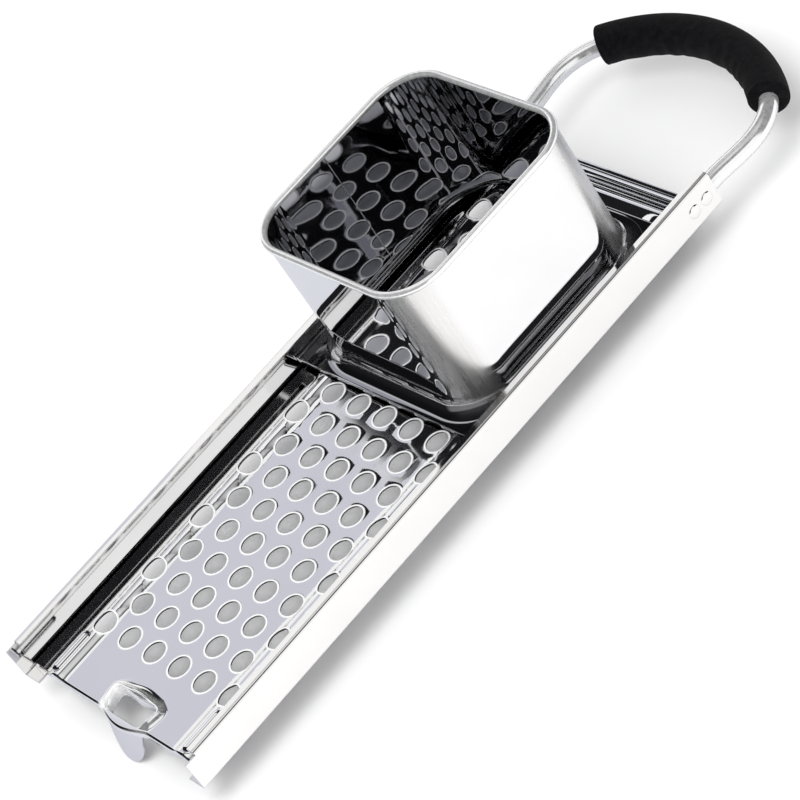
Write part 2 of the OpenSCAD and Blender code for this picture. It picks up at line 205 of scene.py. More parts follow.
for stop, stop_height, tint in zip(horizon.color_ramp.elements, (0.0, horizon_end),
                                   (white, room_dark)):
    stop.position = stop_height
    stop.color = (*tint, 1)
colour = horizon.outputs["Color"]
for middle, half_width, low, high, softness, tint in panels:
    toward = math.radians(middle)
    mask = add_node(room, "ShaderNodeGroup", {
        "Direction": direction, "Toward": (math.cos(toward), math.sin(toward), 0),
        "Edge": math.cos(math.radians(half_width)) - (half_width >= 180),
        "Low": math.sin(math.radians(low)),
        "High": math.sin(math.radians(min(high, 90))) + (high > 90),
        "Softness": softness}, node_tree=soft_panel)
    colour = mix_colour(room, mask.outputs["Mask"], colour, tint)

# Mirrored rays see the panels, the eye sees white, and all else gets even light.
room_path = add_node(room, "ShaderNodeLightPath").outputs
first_mirror = math_node(room, "SUBTRACT", room_path["Is Glossy Ray"], room_path["Diffuse Depth"],
                         clamp=True)
room_mirrored = add_node(room, "ShaderNodeBackground", {"Color": colour})
room_light = add_node(room, "ShaderNodeBackground",
                      {"Color": (*white, 1), "Strength": room_strength})
room_seen = add_node(room, "ShaderNodeBackground", {"Color": (*white, 1)})
unseen = add_node(room, "ShaderNodeMixShader",
                  {"Fac": first_mirror, 1: room_light.outputs[0], 2: room_mirrored.outputs[0]})
room_mix = add_node(room, "ShaderNodeMixShader",
                    {"Fac": room_path["Is Camera Ray"], 1: unseen.outputs[0],
                     2: room_seen.outputs[0]})
add_node(room, "ShaderNodeOutputWorld", {"Surface": room_mix.outputs[0]})


# ---------------------------------------------------------------------------
# Perforated plate: one sheet, punched with staggered holes whose edges stand
# up a little, then pressed with a guide rib along each side. The two outer
# columns of holes lie on the crests of the ribs.
# ---------------------------------------------------------------------------
MM = 0.001
plate_top = 15.0
sheet = 0.8
plate_front = -160.0
plate_rear = 85.2
hole_radius = 4.2
hole_pitch = 14.2
row_pitch = hole_pitch * math.sin(math.radians(60))
first_row = -135.0
row_count = 17
wide_row_holes = 6
rib_middle = 36.6
rib_crest = 1.4
crest_radius = 7.0
foot_radius = 8.0
rib_slope = math.radians(46)
edge_face = -1.4
edge_rise = 0.8
edge_end = 50.5
rib_runout = 6.0

crest_centre = rib_crest - crest_radius
foot_angle = math.acos((foot_radius - crest_centre) / (foot_radius + crest_radius))
foot_start = rib_middle - (foot_radius + crest_radius) * math.sin(foot_angle)
foot_end = foot_start + foot_radius * math.sin(foot_angle)
slope_start = rib_middle + crest_radius * math.sin(rib_slope)
slope_height = crest_centre + crest_radius * math.cos(rib_slope)
toe_radius = 0.6 * (slope_height - edge_face) / (1 - math.cos(rib_slope))
slope_end = slope_start + 0.4 * (slope_height - edge_face) / math.tan(rib_slope)
toe_end = slope_end + toe_radius * math.sin(rib_slope)


def plate_height(y):
    """Height of the plate's upper face above its flat middle, in millimetres."""
    y = abs(y)
    if y < foot_start:
        return 0.0
    if y < foot_end:
        return foot_radius - math.sqrt(foot_radius**2 - (y - foot_start) ** 2)
    if y < slope_start:
        return crest_centre + math.sqrt(crest_radius**2 - (y - rib_middle) ** 2)
    if y < slope_end:
        return slope_height - (y - slope_start) * math.tan(rib_slope)
    if y < toe_end:
        return edge_face + toe_radius - math.sqrt(toe_radius**2 - (toe_end - y) ** 2)
    return edge_face + edge_rise * (y - toe_end) / (edge_end - toe_end)


def ease(share):
    """From 0 to 1 with level ends, and flat beyond them."""
    share = min(max(share, 0.0), 1.0)
    return share * share * (3 - 2 * share)


def pressed(x, y):
    """Height of the pressed sheet; the ribs run out just ahead of the rolled rear edge."""
    return plate_height(y) * (1.0 - ease((x - plate_rear + rib_runout) / rib_runout))


class SheetBuilder:
    """Collects the upper face of a thin sheet point by point, in millimetres."""

    def __init__(self):
        self.points = {}
        self.places = []
        self.faces = []

    def point(self, x, y, z):
        key = (round(x, 3), round(y, 3), round(z, 3))
        if key not in self.points:
            self.points[key] = len(self.places)
            self.places.append(Vector((x, y, z + plate_top)) * MM)
        return self.points[key]

    def face(self, corners):
        corners = [c for i, c in enumerate(corners) if c != corners[i - 1]]
        if len(corners) > 2:
            self.faces.append(corners)

    def grid(self, xs, ys, height):
        self.strips([[self.point(x, y, height(x, y)) for y in ys] for x in xs])

    def strips(self, lines, closed=False):
        """Faces between neighbouring lines, or closed rings, of as many points each."""
        for near, far in zip(lines, lines[1:]):
            for i in range(len(near) - (not closed)):
                k = (i + 1) % len(near)
                self.face([near[i], far[i], far[k], near[k]])

    def mesh(self, name):
        made = bpy.data.meshes.new(name)
        made.from_pydata(self.places, [], self.faces)
        made.validate()
        return made


def new_piece(name, mesh):
    piece = bpy.data.objects.new(name, mesh)
    scene.collection.objects.link(piece)
    return piece


def face_sheet(skin, toward):
    """Turns all faces of an open sheet to one side."""
    bmesh.ops.recalc_face_normals(skin, faces=skin.faces)
    if sum(face.normal.dot(toward) * face.calc_area() for face in skin.faces) < 0:
        bmesh.ops.reverse_faces(skin, faces=skin.faces)


def solid_piece(name, solid, toward=None):
    """Makes a piece of a bmesh, with its faces outward, or to one side if it is a sheet."""
    if toward is None:
        bmesh.ops.recalc_face_normals(solid, faces=solid.faces)
    else:
        face_sheet(solid, toward)
    mesh = bpy.data.meshes.new(name)
    solid.to_mesh(mesh)
    solid.free()
    return new_piece(name, mesh)


def skin_rings(solid, rings, closed=True):
    """Faces between neighbouring rings or lines of as many vertices each."""
    for near, far in zip(rings, rings[1:]):
        for i in range(len(near) - (not closed)):
            k = (i + 1) % len(near)
            solid.faces.new([near[i], near[k], far[k], far[i]])


def bake_modifiers(piece):
    """Turns the piece with its modifiers into a plain mesh."""
    bpy.context.view_layer.update()
    evaluated = piece.evaluated_get(bpy.context.evaluated_depsgraph_get())
    mesh = bpy.data.meshes.new_from_object(evaluated)
    old = piece.data
    piece.modifiers.clear()
    piece.data = mesh
    mesh.name = piece.name
    if old.users == 0:
        bpy.data.meshes.remove(old)


def smooth(piece, angle=35, keep_flats=False):
    """Shades the piece smooth, with its real corners kept sharp, and its flats flat if asked."""
    piece.data.shade_smooth()
    piece.data.set_sharp_from_angle(angle=math.radians(angle))
    if keep_flats:
        weighted = piece.modifiers.new("flats", "WEIGHTED_NORMAL")
        weighted.keep_sharp = True
        weighted.weight = 100
        bake_modifiers(piece)


def node_modifier(piece, tree, values):
    """Puts a Geometry Nodes tree on the piece, sets its named inputs and bakes it."""
    modifier = piece.modifiers.new(tree.name, "NODES")
    modifier.node_group = tree
    for item in tree.interface.items_tree:
        if item.in_out == "INPUT" and item.name in values:
            modifier[item.identifier] = values[item.name]
    bake_modifiers(piece)


def geometry_tree(name, inputs):
    """A new tree with named inputs; gives it with the sockets that come in and its end node."""
    tree = bpy.data.node_groups.new(name, "GeometryNodeTree")
    tree.interface.new_socket("Geometry", in_out="INPUT", socket_type="NodeSocketGeometry")
    for label, kind in inputs:
        tree.interface.new_socket(label, in_out="INPUT", socket_type="NodeSocket" + kind)
    tree.interface.new_socket("Geometry", in_out="OUTPUT", socket_type="NodeSocketGeometry")
    return tree, tree.nodes.new("NodeGroupInput").outputs, tree.nodes.new("NodeGroupOutput")


def end_tree(tree, geometry, material, out):
    """Ends a tree in Realize Instances, a merge of shared edges and Set Material."""
    whole = add_node(tree, "GeometryNodeRealizeInstances", {0: geometry}).outputs[0]
    whole = add_node(tree, "GeometryNodeMergeByDistance",
                     {"Geometry": whole, "Distance": 2e-6}).outputs[0]
    whole = add_node(tree, "GeometryNodeSetMaterial",
                     {"Geometry": whole, "Material": material}).outputs[0]
    tree.links.new(whole, out.inputs[0])


def perforation_tree():
    """Sets one punched cell at every hole of the staggered rows, and plain sheet beside them."""
    tree, given, out = geometry_tree("perforations", (
        ("Rows", "Int"), ("Holes", "Int"), ("Hole Pitch", "Float"), ("Row Pitch", "Float"),
        ("First Row", "Float"), ("Cell Steps", "Int"), ("Material", "Material")))
    index = add_node(tree, "GeometryNodeInputIndex").outputs[0]
    holes, pitch, steps = given["Holes"], given["Hole Pitch"], given["Cell Steps"]

    def calc(operation, *terms):
        return math_node(tree, operation, *terms)

    def points(count, row, across):
        along = calc("ADD", calc("MULTIPLY", row, given["Row Pitch"]), given["First Row"])
        place = add_node(tree, "ShaderNodeCombineXYZ", {"X": along, "Y": across})
        return add_node(tree, "GeometryNodePoints",
                        {"Count": count, "Position": place.outputs[0]}).outputs[0]

    def copies(places, shape):
        return add_node(tree, "GeometryNodeInstanceOnPoints",
                        {"Points": places, "Instance": shape}).outputs[0]

    row = calc("FLOOR", calc("DIVIDE", index, holes))
    column = calc("MODULO", index, holes)
    odd = calc("MODULO", row, 2.0)
    across = calc("SUBTRACT", column, calc("MULTIPLY", calc("SUBTRACT", holes, 1.0), 0.5))
    across = calc("MULTIPLY", calc("ADD", across, calc("MULTIPLY", odd, 0.5)), pitch)
    last = calc("GREATER_THAN", column, calc("SUBTRACT", holes, 1.5))
    staggered = add_node(tree, "GeometryNodeDeleteGeometry", {
        "Geometry": points(calc("MULTIPLY", given["Rows"], holes), row, across),
        "Selection": calc("MULTIPLY", odd, last)}).outputs[0]
    punched = copies(staggered, given["Geometry"])

    pair = calc("FLOOR", calc("DIVIDE", index, 2.0))
    narrow_row = calc("ADD", calc("MULTIPLY", pair, 2.0), 1.0)
    narrow_rows = calc("FLOOR", calc("DIVIDE", given["Rows"], 2.0))
    side = calc("SUBTRACT", calc("MULTIPLY", calc("MODULO", index, 2.0), 2.0), 1.0)
    reach = calc("MULTIPLY", calc("SUBTRACT", calc("MULTIPLY", holes, 0.5), 0.25), pitch)
    ends = points(calc("MULTIPLY", narrow_rows, 2.0), narrow_row, calc("MULTIPLY", side, reach))
    plain = add_node(tree, "GeometryNodeMeshGrid", {
        "Size X": given["Row Pitch"], "Size Y": calc("MULTIPLY", pitch, 0.5),
        "Vertices X": calc("ADD", steps, 1.0),
        "Vertices Y": calc("ADD", calc("MULTIPLY", steps, 0.5), 1.0)}).outputs[0]

    join = tree.nodes.new("GeometryNodeJoinGeometry")
    tree.links.new(punched, join.inputs[0])
    tree.links.new(copies(ends, plain), join.inputs[0])
    end_tree(tree, join.outputs[0], given["Material"], out)
    return tree


def steel_wear_group():
    """Shallow waves, hair-fine polishing marks and faint smudges of sheet steel."""
    group, given, result = shader_group("steel_wear", (
        ("Wave Size", "Float"), ("Wave Depth", "Float"), ("Mark Depth", "Float"),
        ("Smoothness", "Float")), (("Roughness", "Float"), ("Normal", "Vector"),
                                   ("Smudge", "Float")))
    place = add_node(group, "ShaderNodeTexCoord").outputs["Object"]
    wave = add_node(group, "ShaderNodeTexNoise",
                    {"Vector": place, "Scale": given["Wave Size"], "Detail": 1})
    wave_bump = add_node(group, "ShaderNodeBump", {
        "Distance": 0.001, "Strength": given["Wave Depth"], "Height": wave.outputs["Fac"]})
    stretch = add_node(group, "ShaderNodeMapping", {"Vector": place, "Scale": (18, 520, 520)})
    marks = add_node(group, "ShaderNodeTexNoise",
                     {"Vector": stretch.outputs["Vector"], "Scale": 1, "Detail": 3})
    mark_bump = add_node(group, "ShaderNodeBump", {
        "Distance": 0.00001, "Strength": given["Mark Depth"], "Height": marks.outputs["Fac"],
        "Normal": wave_bump.outputs["Normal"]})
    smudge = add_node(group, "ShaderNodeTexNoise", {"Vector": place, "Scale": 45, "Detail": 5})
    spread = add_node(group, "ShaderNodeMapRange", {
        "Value": smudge.outputs["Fac"], "From Min": 0.35, "From Max": 0.75,
        "To Min": 0.6, "To Max": 1.7})
    rough = math_node(group, "MULTIPLY", spread.outputs["Result"], given["Smoothness"])
    for label, socket in (("Roughness", rough), ("Normal", mark_bump.outputs["Normal"]),
                          ("Smudge", smudge.outputs["Fac"])):
        group.links.new(socket, result.inputs[label])
    return group


steel_wear = steel_wear_group()


def burnish_and_highlight_group():
    """Satin bands from a mask on the mesh: rubbed by the die on the hopper's corners, even on the
    rim and the bar, and a near-white painted highlight on the plate's hole rings and hook bead.
    """
    group, given, result = shader_group("burnish_and_highlight", (
        ("Colour", "Color"), ("Roughness", "Float"), ("Satin Colour", "Color"),
        ("Satin Roughness", "Float"), ("Satin Metallic", "Float")),
        (("Colour", "Color"), ("Roughness", "Float"), ("Metallic", "Float")))
    mask = add_node(group, "ShaderNodeAttribute", attribute_name="satin_and_highlight").outputs["Fac"]
    place = add_node(group, "ShaderNodeTexCoord").outputs["Object"]
    streaks = add_node(group, "ShaderNodeMapping", {"Vector": place, "Scale": (900, 900, 60)})
    grain = add_node(group, "ShaderNodeTexNoise",
                     {"Vector": streaks.outputs["Vector"], "Scale": 1, "Detail": 2})
    uneven = add_node(group, "ShaderNodeMapRange", {
        "Value": grain.outputs["Fac"], "From Min": 0.3, "From Max": 0.7,
        "To Min": 0.75, "To Max": 1.0})
    share = math_node(group, "MULTIPLY", mask, uneven.outputs["Result"])
    group.links.new(mix_colour(group, share, given["Colour"], given["Satin Colour"]),
                    result.inputs["Colour"])
    for label, plain in (("Roughness", given["Roughness"]), ("Metallic", 1.0)):
        mix = add_node(group, "ShaderNodeMix",
                       {"Factor": share, "A": plain, "B": given["Satin " + label]})
        group.links.new(mix.outputs["Result"], result.inputs[label])
    return group


burnish_and_highlight = burnish_and_highlight_group()


def worn_material(name, tint, shade, wave_size, wave_depth, mark_depth, roughness):
    """A steel with its wear; gives it with its tree, its shader, its colour and roughness."""
    material = bpy.data.materials.new(name)
    material.use_nodes = True
    tree = material.node_tree
    shader = tree.nodes["Principled BSDF"]
    wear = add_node(tree, "ShaderNodeGroup", {
        "Wave Size": wave_size, "Wave Depth": wave_depth, "Mark Depth": mark_depth,
        "Smoothness": roughness}, node_tree=steel_wear).outputs
    tree.links.new(wear["Normal"], shader.inputs["Normal"])
    tone = mix_colour(tree, wear["Smudge"], tint, [c * shade for c in tint])
    return material, tree, shader, tone, wear["Roughness"]


def polished_steel(name, tint, wave_size, wave_depth, mark_depth, roughness, satin_and_highlight=None,
                   painted_shade=None):
    """Mirror-bright stainless steel with its own waviness and polish. Satin bands, some of them
    painted highlight, and a darker tint of painted shade, where they are given, follow masks on the
    mesh."""
    material, tree, shader, tone, rough = worn_material(name, tint, 0.93, wave_size, wave_depth,
                                                        mark_depth, roughness)
    # The darker tint laid by this mask is painted shade.
    if painted_shade is not None:
        shade_share = add_node(tree, "ShaderNodeAttribute", attribute_name="painted_shade").outputs["Fac"]
        tone = mix_colour(tree, shade_share, tone, painted_shade)
    if satin_and_highlight is None:
        shader.inputs["Metallic"].default_value = 1.0
        tree.links.new(tone, shader.inputs["Base Color"])
        tree.links.new(rough, shader.inputs["Roughness"])
        return material
    bands = add_node(tree, "ShaderNodeGroup", {
        "Colour": tone, "Roughness": rough, "Satin Colour": satin_and_highlight[0],
        "Satin Roughness": satin_and_highlight[1], "Satin Metallic": satin_and_highlight[2]}, node_tree=burnish_and_highlight)
    for label, socket in (("Colour", "Base Color"), ("Roughness", "Roughness"),
                          ("Metallic", "Metallic")):
        tree.links.new(bands.outputs[label], shader.inputs[socket])
    return material


def store_mask(piece, label, amount):
    """Stores a mask from 0 to 1 at each point of the finished mesh: a satin band, which on the
    plate is painted highlight, or a tint of painted shade.
    """
    layer = piece.data.attributes.new(label, "FLOAT", "POINT")
    layer.data.foreach_set("value", [amount(vertex.co / MM) for vertex in piece.data.vertices])


def paint(piece, *materials):
    piece.data.materials.clear()
    for material in materials:
        piece.data.materials.append(material)


# The plate's satin band is near-white and barely metallic: a painted highlight on the rings round
# the holes and on the hook's bead.
plate_steel = polished_steel("plate_steel", (0.90, 0.90, 0.91), 25, 0.05, 0.05, 0.05,
                             ((1.0, 1.0, 1.0, 1), 0.40, 0.08))

# One punched cell: the hole's raised edge, as pairs of distance out and rise, and the
# sheet out to the cell's rectangle.
cell_steps = 12
half_row = row_pitch / 2
punched_rim = ((0.0, 0.0), (0.06, 0.035), (0.14, 0.055), (0.3, 0.055), (0.55, 0.03), (0.95, 0.0))


def rectangle_loop(x0, x1, y0, y1, x_steps, y_steps):
    """Points round a rectangle, one way round, starting at its corner x0, y0."""
    xs = [x0 + (x1 - x0) * i / x_steps for i in range(x_steps + 1)]
    ys = [y0 + (y1 - y0) * i / y_steps for i in range(y_steps + 1)]
    loop = [(x, y0) for x in xs[:-1]]
    loop += [(x1, y) for y in ys[:-1]]
    loop += [(x, y1) for x in reversed(xs[1:])]
    loop += [(x0, y) for y in reversed(ys[1:])]
    return loop


cell = SheetBuilder()
cell_edge = rectangle_loop(-half_row, half_row, -hole_pitch / 2, hole_pitch / 2,
                           cell_steps, cell_steps)
cell_rings = []
rim_end = punched_rim[-1][0]
for out, rise, to_edge in [(*pair, 0.0) for pair in punched_rim] + [(rim_end, 0.0, 0.5),
                                                                    (rim_end, 0.0, 1.0)]:
    ring = []
    for x, y in cell_edge:
        share = (hole_radius + out) / math.hypot(x, y)
        share += (1 - share) * to_edge
        ring.append(cell.point(x * share, y * share, rise - plate_top))
    cell_rings.append(ring)
cell.strips(cell_rings, closed=True)
plate_piece = new_piece("grater_plate_sheet", cell.mesh("punched_cell"))
node_modifier(plate_piece, perforation_tree(), {
    "Rows": row_count, "Holes": wide_row_holes, "Hole Pitch": hole_pitch * MM,
    "Row Pitch": row_pitch * MM, "First Row": first_row * MM, "Cell Steps": cell_steps,
    "Material": plate_steel})
for vertex in plate_piece.data.vertices:
    rise = pressed(vertex.co.x / MM, vertex.co.y / MM)
    vertex.co.z += (plate_top + rise) * MM

# The sheet beside the holes, and behind the last row, where it is rolled up and over.
plate = SheetBuilder()
step_y = hole_pitch / cell_steps
rib_edge = wide_row_holes / 2 * hole_pitch
edge_lines = sorted({round(v, 4) for v in (
    rib_edge, (rib_edge + slope_end) / 2, slope_end, (slope_end + toe_end) / 2, toe_end,
    toe_end + 1.2, (toe_end + edge_end) / 2, edge_end) if v >= rib_edge})
row_lines = [first_row - half_row + row_pitch * i / cell_steps
             for i in range(row_count * cell_steps + 1)]
rear_end = 95.0
rear_lines = [row_lines[-1] + (plate_rear - row_lines[-1]) * i / 16 for i in range(17)]
side_lines = row_lines + rear_lines[1:]
side_lines += [plate_rear + (rear_end - plate_rear) * i / 4 for i in range(1, 5)]
y_lines = [-rib_edge + step_y * i for i in range(wide_row_holes * cell_steps + 1)]
plate.grid(rear_lines, y_lines, pressed)
for side in (-1, 1):
    plate.grid(side_lines, [side * y for y in edge_lines], pressed)

rear_radius_in = 4.0
rear_radius_out = 3.6
rear_slope = math.radians(55)
roll_x = plate_rear + (rear_radius_in + rear_radius_out) * math.sin(rear_slope)
roll_z = rear_radius_in - (rear_radius_in + rear_radius_out) * math.cos(rear_slope)
roll = []
for i in range(1, 9):
    turn = rear_slope * i / 8
    roll.append((plate_rear + rear_radius_in * math.sin(turn),
                 rear_radius_in * (1 - math.cos(turn))))
for i in range(1, 21):
    turn = (math.radians(90) + rear_slope) * (1 - i / 20)
    roll.append((roll_x + rear_radius_out * math.cos(turn),
                 roll_z + rear_radius_out * math.sin(turn)))
roll.append((roll_x + rear_radius_out, -2.8))
roll_lines = [[plate.point(plate_rear, y, pressed(plate_rear, y)) for y in y_lines]]
roll_lines += [[plate.point(x, y, z) for y in y_lines] for x, z in roll]
plate.strips(roll_lines)

# The front end is bent down to a lip. Behind it lies the pot hook's opening, whose edge
# is drawn down inside, within a bead pressed up along its rear and its sides.
hook_middle = -3.0
opening_rear = -150.9
opening_front = -160.0
opening_rear_half = 11.8
opening_front_half = 9.6
bulge = 3.0
bulge_half = 14.0
front_steps = 12
front_bend = 1.1
front_drop = 2.6
lip_low = -2.9
bead_profile = ((-1.0, -2.8), (-0.8, -1.6), (-0.55, -0.5), (-0.2, 0.5), (0.2, 1.1), (0.7, 1.5),
                (1.3, 1.55), (1.9, 1.25), (2.5, 0.8), (3.1, 0.35), (3.7, 0.1), (4.2, 0.0))
bead_width = bead_profile[-1][0]
front_inner = row_lines[0]
opening_power = 7
hook_steps = (-16, 11)
hook_y0, hook_y1 = (step * step_y for step in hook_steps)


def front_edge(y):
    """Place of the plate's front edge, which bulges ahead of the hook's opening."""
    reach = abs(y - hook_middle) / bulge_half
    if reach >= 1:
        return plate_front
    return plate_front - bulge * math.cos(reach * math.pi / 2) ** 1.3


def front_grid(y_values):
    rows = []
    for i in range(front_steps + 1):
        row = []
        for y in y_values:
            start = front_edge(y) + front_bend
            x = start + (front_inner - start) * i / front_steps
            row.append(plate.point(x, y, plate_height(y)))
        rows.append(row)
    plate.strips(rows)


front_grid([y for y in y_lines if y <= hook_y0 + 0.01])
front_grid([y for y in y_lines if y >= hook_y1 - 0.01])
front_grid([-y for y in reversed(edge_lines)])
front_grid(edge_lines)


def opening_point(x, y):
    """Where the ray from the opening's middle towards a point meets its rounded outline."""
    middle = (opening_rear + opening_front) / 2
    half_length = (opening_rear - opening_front) / 2
    turn = math.atan2(y - hook_middle, x - middle)
    low, high = 0.0, 40.0
    for _ in range(40):
        reach = (low + high) / 2
        along = reach * math.cos(turn) / half_length
        across = reach * math.sin(turn)
        half_width = opening_front_half
        half_width += (opening_rear_half - opening_front_half) * (along + 1) / 2
        inside = abs(along) ** opening_power + abs(across / half_width) ** opening_power < 1
        low, high = (reach, high) if inside else (low, reach)
    return (middle + low * math.cos(turn), hook_middle + low * math.sin(turn))


hook_outer = []
for x, y in rectangle_loop(0, 1, hook_y0, hook_y1, front_steps, hook_steps[1] - hook_steps[0]):
    start = front_edge(y) + front_bend
    hook_outer.append((start + (front_inner - start) * x, y))
hook_inner = [opening_point(x, y) for x, y in hook_outer]
hook_rings = []
for out, rise in bead_profile + ((None, 0), (None, 0), (None, 0)):
    ring = []
    for (ax, ay), (bx, by) in zip(hook_inner, hook_outer):
        room_there = math.dist((ax, ay), (bx, by))
        narrow = min(1.0, 0.96 * room_there / bead_width)
        if out is None:
            beyond = bead_width * narrow / room_there
            share = beyond + (1 - beyond) * (len(hook_rings) - len(bead_profile) + 1) / 3
        else:
            share = out * (narrow if out > 0 else 1.0) / room_there
        x = ax + (bx - ax) * share
        y = ay + (by - ay) * share
        lift = rise * ease((x - opening_front - 0.3) / 3.0) if rise > 0 else rise
        ring.append(plate.point(x, y, plate_height(y) + lift))
    hook_rings.append(ring)
plate.strips(hook_rings, closed=True)

lip_lines = [-y for y in reversed(edge_lines[1:-3])] + y_lines + edge_lines[1:-3]
lip_profile = [(front_bend * (1 - math.sin(math.pi / 2 * i / 6)),
                front_bend * (math.cos(math.pi / 2 * i / 6) - 1)) for i in range(7)]
lip_profile.append((0.0, -front_drop))
plate.strips([[plate.point(front_edge(y) + out, y, max(plate_height(y) + down, lip_low))
               for y in lip_lines] for out, down in lip_profile])

# Holes and borders are one sheet: they are joined, turned face up and given a thickness.
whole = bmesh.new()
whole.from_mesh(plate_piece.data)
border_mesh = plate.mesh("plate_borders")
whole.from_mesh(border_mesh)
bpy.data.meshes.remove(border_mesh)
bmesh.ops.remove_doubles(whole, verts=whole.verts, dist=3e-6)
face_sheet(whole, Vector((0, 0, 1)))
whole.to_mesh(plate_piece.data)
whole.free()


def give_thickness(piece, thickness, back=0):
    """Makes a sheet of a skin; its back and its cut edges take the material so many slots on."""
    solidify = piece.modifiers.new("thickness", "SOLIDIFY")
    solidify.material_offset = back
    solidify.material_offset_rim = back
    solidify.thickness = thickness * MM
    solidify.offset = -1
    solidify.use_even_offset = True
    bake_modifiers(piece)


def hook_bead_highlight(place):
    """How much of the painted highlight the bead round the hook's opening takes, from 0 to 1."""
    x = (place.x - (opening_rear + opening_front) / 2) / ((opening_rear - opening_front) / 2 + 3.2)
    y = (place.y - hook_middle) / (opening_rear_half + 3.2)
    reach = (abs(x) ** 6 + abs(y) ** 6) ** (1 / 6)
    bead_band = min(1.0, max(0.0, (1.0 - reach) / 0.12))
    # The left side of the bead takes the whole painted highlight, the right side a quarter of it.
    left = min(1.0, max(0.25, 0.25 + (y - 0.55) / 0.3))
    front = min(1.0, max(0.0, (x + 0.85) / 0.2))
    return bead_band * left * front


def plate_highlight(place):
    """The plate's painted highlights: the rings round its holes, and the hook's bead."""
    if place.x < first_row - half_row and place.z > plate_top - 3:
        return hook_bead_highlight(place)
    return hole_ring_highlight(place)


def hole_ring_highlight(place):
    """1 on the ring round each hole, where the punch has pulled the sheet's edge up, painted white
    as a highlight.
    """
    row = round((place.x - first_row) / row_pitch)
    if not 0 <= row < row_count or abs(place.y) > rib_edge:
        return 0.0
    shift = (wide_row_holes + 1 + row % 2) % 2 / 2
    column = (math.floor(place.y / hole_pitch - shift + 0.5) + shift) * hole_pitch
    out = math.hypot(place.x - first_row - row * row_pitch, place.y - column) - hole_radius
    return min(1.0, max(0.0, (out - 0.03) / 0.07)) * min(1.0, max(0.0, (0.74 - out) / 0.2))


def rolled_steel_with_painted_shade(name, tint, roughness):
    """The unpolished back of the sheet, rough from the rolling mill; its dark grey tint is painted
    shade.
    """
    material, tree, shader, tone, rough = worn_material(name, tint, 0.8, 30, 0.05, 0.3, roughness)
    shader.inputs["Metallic"].default_value = 1.0
    tree.links.new(tone, shader.inputs["Base Color"])
    tree.links.new(rough, shader.inputs["Roughness"])
    return material


# Its dark grey tint is painted shade on the plate's back and on the walls of its holes.
plate_back = rolled_steel_with_painted_shade("plate_back", (0.34, 0.34, 0.35), 0.32)
paint(plate_piece, plate_steel, plate_back)
give_thickness(plate_piece, sheet, 1)
smooth(plate_piece)
# The white rings round the holes and the bead's light side are painted highlights, stored as the
# band's mask.
store_mask(plate_piece, "satin_and_highlight", plate_highlight)
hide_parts("grater_plate")
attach(plate_piece, "frame")


# ---------------------------------------------------------------------------
# Pot hook: a tongue that hangs from the plate's bulged front edge and leans
# forwards, to catch a pot's rim, and the two stop bars pressed out of the ribs.
# ---------------------------------------------------------------------------
tongue_inset = 0.4
tongue_start = -0.9
tongue_lean = math.radians(15)
tongue_curve = 25.5
tongue_root_half = 11.0
tongue_end = 9.4
tongue_steps = 40
tongue_length = plate_top + tongue_start - sheet * math.sin(tongue_lean)
tongue_length /= math.cos(tongue_lean)


def tongue_place(along, across):
    """Point of the tongue's front face, which is curved as the bulge is, below its root."""
    back = tongue_curve - math.sqrt(tongue_curve**2 - across**2)
    x = back * math.cos(tongue_lean) - along * math.sin(tongue_lean)
    z = -back * math.sin(tongue_lean) - along * math.cos(tongue_lean)
    return Vector((plate_front - bulge + tongue_inset + x, hook_middle + across,
                   plate_top + tongue_start + z)) * MM


tongue_mesh = bmesh.new()
tongue_rows = []
for i in range(tongue_steps + 1):
    along = tongue_length * (1 - (1 - i / tongue_steps) ** 1.35)
    straight = tongue_length - tongue_end
    half = tongue_root_half + (tongue_end - tongue_root_half) * min(1.0, along / straight)
    if along > straight:
        half = math.sqrt(max(tongue_end**2 - (along - straight) ** 2, 0.04))
    tongue_rows.append([tongue_mesh.verts.new(tongue_place(along, half * (k / 8 - 1)))
                        for k in range(17)])
skin_rings(tongue_mesh, tongue_rows, closed=False)
tongue_piece = solid_piece("hook_tongue", tongue_mesh, Vector((-1, 0, 0)))
give_thickness(tongue_piece, sheet)
smooth(tongue_piece)
# The tongue is tinted darker and bluer than the sheet it is bent from: painted shade.
paint(tongue_piece, polished_steel("tongue_steel_painted_shade", (0.80, 0.80, 0.83), 30, 0.05, 0.05, 0.09))
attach(tongue_piece, "frame")

stop_middle = rib_middle + 1.4
stop_front = plate_front + 1.4
stop_rear = -140.6
stop_half = 2.2
stop_rise = 1.2
stop_sink = 1.1


def capsule(x0, x1, half_width, steps):
    """Outline of a bar with round ends, anticlockwise, with as many points for any inset."""
    points = []
    for i in range(steps + 1):
        turn = math.radians(-90 + 180 * i / steps)
        points.append((x1 - stop_half + half_width * math.cos(turn), half_width * math.sin(turn)))
    for i in range(steps + 1):
        turn = math.radians(90 + 180 * i / steps)
        points.append((x0 + stop_half + half_width * math.cos(turn), half_width * math.sin(turn)))
    return points


stops = bmesh.new()
for side in (-1, 1):
    rings = []
    for k in range(-1, 9):
        turn = math.radians(90) * max(k, 0) / 8
        half = max(stop_half * math.cos(turn), 0.05)
        low = rib_crest - stop_sink
        z = low if k < 0 else low + (stop_rise + stop_sink) * (0.45 + 0.55 * math.sin(turn))
        ring = [stops.verts.new(Vector((x, side * stop_middle + y, z + plate_top)) * MM)
                for x, y in capsule(stop_front, stop_rear, half, 12)]
        rings.append(ring)
    skin_rings(stops, rings)
    stops.faces.new(list(reversed(rings[0])))
    stops.faces.new(rings[-1])
stops_piece = solid_piece("stop_bars", stops)
smooth(stops_piece, 50)
paint(stops_piece, plate_steel)
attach(stops_piece, "frame")


